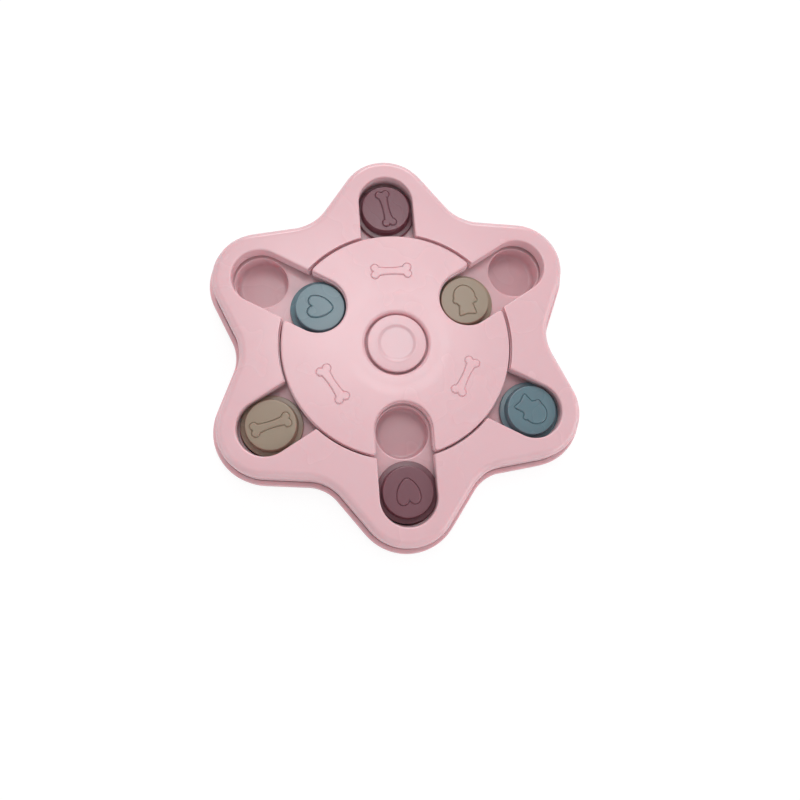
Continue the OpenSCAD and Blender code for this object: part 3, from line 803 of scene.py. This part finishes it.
blocks = {}
for node, (figure, angle) in BLOCKS.items():
    place = centre_of(node)
    start_piece(node + "_moulded")
    disc(place, FLANGE_R, FLANGE_Z + FLANGE_SIDE)
    twin_face()
    follow([(0, FLANGE_EDGE - FLANGE_SIDE)] + to_flat(FLANGE_EDGE, -1, 3)
           + [(FLANGE_R - FLANGE_EDGE - HOLLOW_EASE - HOLLOW_R, 0)] + to_upright(HOLLOW_EASE, 1, 2)
           + [(0, CEILING_Z - FLANGE_Z - HOLLOW_EASE)], facing=-1)
    pick_face(FLANGE_Z + FLANGE_SIDE, 1)
    follow(to_flat(FLANGE_EDGE, 1) + [(FLANGE_R - FLANGE_EDGE - KNOB_R - KNOB_FOOT, 0)]
           + to_upright(KNOB_FOOT, 1, 3) + [(KNOB_DRAFT, knob_side)] + to_flat(KNOB_EDGE, 1, 6)
           + [(EASE, 0)])
    open_cap()
    raised(figure, place, angle, KNOB_TOP)
    fill_level(KNOB_TOP)
    blocks[node] = end_piece()

# %% [markdown]
# ## A node and a colour
# Materials here are built from nodes in code. One small function adds a node, sets its values and joins
# it to the nodes before it. Colours are written as a designer gives them, in sRGB, and are turned to
# linear light for the shader.

# %% Helpers for materials
def linear(code):
    """The linear colour of an sRGB hex value."""
    parts = [int(code[i:i + 2], 16) / 255 for i in (1, 3, 5)]
    return [p / 12.92 if p <= 0.04045 else ((p + 0.055) / 1.055) ** 2.4 for p in parts] + [1.0]


def add(tree, kind, inputs=None, **settings):
    """Adds a node. An input is a value or another node's output."""
    node = tree.nodes.new("ShaderNode" + kind)
    for name, value in settings.items():
        setattr(node, name, value)
    for socket, value in (inputs or {}).items():
        if isinstance(value, bpy.types.NodeSocket):
            tree.links.new(value, node.inputs[socket])
        else:
            node.inputs[socket].default_value = value
    return node


def new_material(name):
    """A material with an empty node tree, and the tree."""
    material = bpy.data.materials.new(name)
    material.use_nodes = True
    material.node_tree.nodes.clear()
    return material, material.node_tree


print("sRGB grey #808080 is", round(linear("#808080")[0], 3), "in linear light")

# %% [markdown]
# ## Moulded ABS
# The case and the blocks are ABS, moulded in a steel tool with a fine satin finish. The melt flows in and
# cools unevenly, so over a few centimetres the colour and the gloss drift by a percent or two, and flat
# faces are not quite flat. The tool's own grain is about 0.1 mm. It is drawn at 0.5 mm, because anything
# finer is lost between the pixels. ABS has an index of refraction of 1.54. Pale ABS lets light in for up
# to 3 mm, and red goes the deepest, so edges glow a little and hollows look warm. Subsurface gives that.

# %% ABS
FLOW_MM, SINK_MM, GRAIN_MM, GLOW_MM = 34.0, 14.0, 0.5, 3.0
ABS_IOR, GLOSS_DRIFT = 1.54, 0.03


def moulded_abs(name, colour, drift, rough):
    """A satin plastic whose colour and gloss drift, with shallow sinks and a fine grain."""
    material, tree = new_material(name)
    place = add(tree, "TexCoord").outputs["Object"]
    flow = add(tree, "TexNoise", {"Vector": place, "Scale": 1 / (FLOW_MM * MM), "Detail": 2.0}).outputs[0]
    tone = add(tree, "Mix", {0: flow, 6: linear(colour), 7: linear(drift)}, data_type="RGBA").outputs[2]
    gloss = add(tree, "MapRange", {"Value": flow, "From Min": 0.3, "From Max": 0.7,
                                   "To Min": rough - GLOSS_DRIFT, "To Max": rough + GLOSS_DRIFT}).outputs[0]
    sink = add(tree, "TexNoise", {"Vector": place, "Scale": 1 / (SINK_MM * MM), "Detail": 1.0}).outputs[0]
    waves = add(tree, "Bump", {"Height": sink, "Strength": 0.2, "Distance": 0.03 * MM}).outputs[0]
    grain = add(tree, "TexNoise", {"Vector": place, "Scale": 1 / (GRAIN_MM * MM), "Detail": 3.0}).outputs[0]
    skin = add(tree, "Bump", {"Height": grain, "Strength": 0.05, "Distance": 0.03 * MM,
                              "Normal": waves}).outputs[0]
    shader = add(tree, "BsdfPrincipled", {"Base Color": tone, "Roughness": gloss, "Normal": skin,
                                           "IOR": ABS_IOR, "Subsurface Weight": 0.45,
                                           "Subsurface Radius": (1.0, 0.3, 0.3),
                                           "Subsurface Scale": GLOW_MM * MM})
    add(tree, "OutputMaterial", {"Surface": shader.outputs[0]})
    return material


CASE = moulded_abs("abs_moulded_pink", "#EBC2C8", "#E8BDC3", 0.26)
ABS = {"block_mauve": moulded_abs("abs_moulded_mauve", "#80555F", "#7C525B", 0.29),
       "block_taupe": moulded_abs("abs_moulded_taupe", "#A08E7C", "#9C8A78", 0.30),
       "block_blue": moulded_abs("abs_moulded_slate", "#69828C", "#657E88", 0.27)}
print("ABS finishes:", CASE.name, *(finish.name for finish in ABS.values()))

# %% [markdown]
# ## Rubber and steel
# The feet and the squeaker's bulb are moulded rubber, which scatters light at its powdery skin, so it has
# a high roughness. Its bloom is in patches of about 6 mm, and its grit is drawn at 0.4 mm, because the
# real grit is too fine to show. The reed is plain polypropylene. The screws are zinc plated: a metal with
# a pale bluish tint, stains of about 2 mm and fine turning rings. The rings are drawn 0.4 mm apart, far
# coarser than real ones. A wave texture has 20 rings to a unit, which its scale allows for.

# %% Rubber, reed and screws
BLOOM_MM, GRIT_MM, STAIN_MM, RING_MM, WAVES_PER_UNIT = 6.0, 0.4, 2.0, 0.4, 20
RUBBER_IOR = 1.52


def moulded_rubber(name, colour, drift):
    """A matt rubber with a patchy bloom and a fine grit."""
    material, tree = new_material(name)
    place = add(tree, "TexCoord").outputs["Object"]
    bloom = add(tree, "TexNoise", {"Vector": place, "Scale": 1 / (BLOOM_MM * MM), "Detail": 5.0}).outputs[0]
    tone = add(tree, "Mix", {0: bloom, 6: linear(colour), 7: linear(drift)}, data_type="RGBA").outputs[2]
    gloss = add(tree, "MapRange", {"Value": bloom, "To Min": 0.68, "To Max": 0.88}).outputs[0]
    grit = add(tree, "TexNoise", {"Vector": place, "Scale": 1 / (GRIT_MM * MM), "Detail": 2.0}).outputs[0]
    skin = add(tree, "Bump", {"Height": grit, "Strength": 0.3, "Distance": 0.04 * MM}).outputs[0]
    shader = add(tree, "BsdfPrincipled", {"Base Color": tone, "Roughness": gloss, "Normal": skin,
                                           "IOR": RUBBER_IOR})
    add(tree, "OutputMaterial", {"Surface": shader.outputs[0]})
    return material


def plated_steel(name):
    """A bright metal with faint stains and turning rings."""
    material, tree = new_material(name)
    place = add(tree, "TexCoord").outputs["Object"]
    rings = add(tree, "TexWave", {"Vector": place, "Scale": 1 / (RING_MM * MM) / WAVES_PER_UNIT,
                                  "Distortion": 0.6}, wave_type="RINGS", rings_direction="Z").outputs[1]
    stain = add(tree, "TexNoise", {"Vector": place, "Scale": 1 / (STAIN_MM * MM), "Detail": 4.0}).outputs[0]
    tone = add(tree, "Mix", {0: stain, 6: linear("#C9CBCE"), 7: linear("#B4B7BD")},
               data_type="RGBA").outputs[2]
    gloss = add(tree, "MapRange", {"Value": stain, "To Min": 0.24, "To Max": 0.42}).outputs[0]
    skin = add(tree, "Bump", {"Height": rings, "Strength": 0.2, "Distance": 0.02 * MM}).outputs[0]
    shader = add(tree, "BsdfPrincipled", {"Base Color": tone, "Roughness": gloss, "Normal": skin,
                                           "Metallic": 1.0})
    add(tree, "OutputMaterial", {"Surface": shader.outputs[0]})
    return material


FINISHES = {"case_plastic": CASE, **ABS,
            "foot_rubber": moulded_rubber("rubber_moulded_grey", "#CFCAC4", "#C6C0B9"),
            "bellows_rubber": moulded_rubber("rubber_moulded_ivory", "#DED6CD", "#D5CCC2"),
            "reed_plastic": moulded_abs("polypropylene_moulded_white", "#EBE8E2", "#E6E2DB", 0.46),
            "screw_steel": plated_steel("steel_zinc_plated")}
print(len(FINISHES), "finishes in all")

# %% [markdown]
# ## Putting the pieces on their bodies
# Each new piece stands for one CAD node, moves with that node's body and has its finish. The nodes that
# stay, such as the screws and the reed, get the same materials. The bulb gets a copy of its mesh of its
# own.

# %% Bodies, nodes and finishes
SLOT_OF = {part["node"]: part["material_slot"] for part in frame["record"]["subparts"]}
BODY_OF = {node: body for body, nodes in frame["record"]["behaviour"]["bodies"].items() for node in nodes}
PIECES = {"base_shell": base, "food_tray": tray, "top_cover": cover, "turntable": turntable,
          "centre_button": button, "squeaker_bellows": bulb, **blocks,
          **{f"foot_pad_{i}": foot for i, foot in enumerate(feet, 1)}}
for node, piece in PIECES.items():
    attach(piece, BODY_OF[node])
    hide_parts(node)
    piece.data.materials.append(FINISHES[SLOT_OF[node]])
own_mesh(bulb)
for node, solid in frame["nodes"].items():
    for holder in solid.material_slots:
        holder.material = FINISHES[SLOT_OF[node]]
print(len(PIECES), "new pieces for", len(frame["nodes"]), "nodes")

# %% [markdown]
# ## Table and room
# A white table and a white room, as in a product picture. The camera sees the room and much of the table
# as plain white, because their glow is mixed in for camera rays only. The rest of the table is a matt
# white sheet, which still takes the toy's shadow, and the room lights the toy at less than half of that.

# %% Table and room
TABLE_WIDE, SEEN_SHARE, TABLE_GLOW, ROOM_FILL = 24, 0.8, 1.09, 0.4

bpy.ops.object.select_all(action="DESELECT")
bpy.ops.mesh.primitive_plane_add(size=TABLE_WIDE)
floor = bpy.context.object
floor.name = "table_top"
floor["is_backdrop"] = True
card, tree = new_material("table_white_laminate")
seen = add(tree, "LightPath").outputs["Is Camera Ray"]
share = add(tree, "Math", {0: seen, 1: SEEN_SHARE}, operation="MULTIPLY").outputs[0]
matt = add(tree, "BsdfDiffuse", {"Color": linear("#F4F4F4")}).outputs[0]
white = add(tree, "Emission", {"Color": linear("#FFFFFF"), "Strength": TABLE_GLOW}).outputs[0]
mixed = add(tree, "MixShader", {0: share, 1: matt, 2: white}).outputs[0]
add(tree, "OutputMaterial", {"Surface": mixed})
floor.data.materials.append(card)

world = bpy.data.worlds.new("white_room")
bpy.context.scene.world = world
world.use_nodes = True
room = world.node_tree
room.nodes.clear()
seen = add(room, "LightPath").outputs["Is Camera Ray"]
fill = add(room, "Background", {"Color": linear("#FFFFFF"), "Strength": ROOM_FILL}).outputs[0]
shown = add(room, "Background", {"Color": linear("#FFFFFF"), "Strength": 1.0}).outputs[0]
add(room, "OutputWorld", {"Surface": add(room, "MixShader", {0: seen, 1: fill, 2: shown}).outputs[0]})
print("table", TABLE_WIDE, "m wide, room at", ROOM_FILL)

# %% [markdown]
# ## Lamps
# A small lamp above stands for a window and gives the flat tops their soft sheen. A wide one stands far
# behind the toy and draws the highlights along the rounded edges. Three low strips, on the right, on
# the left and in front, light the walls that face outwards, the right one most.

# %% Lamps
STRIP_REACH, STRIP_Z, STRIP_WIDE, STRIP_HIGH = 1.25, 0.5, 1.4, 0.25


def softbox(name, place, wide, high, power):
    """A rectangular lamp that faces the toy."""
    turn = (-Vector(place)).to_track_quat("-Z", "Y").to_euler()
    bpy.ops.object.light_add(type="AREA", location=place, rotation=turn)
    lamp = bpy.context.object
    lamp.name = name
    lamp.data.shape = "RECTANGLE"
    lamp.data.size, lamp.data.size_y, lamp.data.energy = wide, high, power
    print(name, round(Vector(place).length, 2), "m away,", power, "W")


softbox("window_light", (0.03, 0.34, 1.0), 0.44, 0.36, 2.0)
softbox("back_light", (0.2, 1.9, 1.15), 1.6, 0.5, 19)
for name, direction, power in (("right", -20, 5.5), ("left", 180, 2.6), ("front", 270, 2.8)):
    place = (*polar(STRIP_REACH, direction), STRIP_Z)
    softbox(f"strip_light_{name}", place, STRIP_WIDE, STRIP_HIGH, power)

# %% [markdown]
# ## Camera
# The photograph was taken from almost straight above, a little in front of the toy. The place and the
# lens come from a camera fitted to the rims of the cups, the knobs and the slots. TILT is its turn about
# the three axes, and EYE is where it is, seen in its own axes from the middle of the toy's top.

# %% Camera
FOCAL_PX, PICTURE_PX, SENSOR_MM, FIT_LEVEL = 614.5, 800, 36.0, 25.3
TILT, EYE = (-10.83, 4.82, 4.47), (1.9, -34.4, 371.1)

about_x, about_y, about_z = (Matrix.Rotation(math.radians(turn), 3, axis)
                             for turn, axis in zip(TILT, "XYZ"))
tilt = about_x @ about_y @ about_z
eye = tilt.transposed() @ Vector(EYE) + Vector((0, 0, FIT_LEVEL))
bpy.ops.object.camera_add(location=eye * MM, rotation=tilt.transposed().to_euler())
camera = bpy.context.object
camera.data.sensor_width = SENSOR_MM
camera.data.lens = FOCAL_PX / PICTURE_PX * SENSOR_MM
bpy.context.scene.camera = camera
bpy.context.scene.view_settings.view_transform = "Standard"
print("camera at", [round(v) for v in eye], "mm, lens", round(camera.data.lens, 1), "mm")

# %% [markdown]
# ## Size and finish
# The new pieces have to fill the same box as the CAD model, so both boxes are written down.

# %% Sizes, and the end
low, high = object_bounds()
print("new box in mm:", [round((b - a) / MM, 2) for a, b in zip(low, high)])
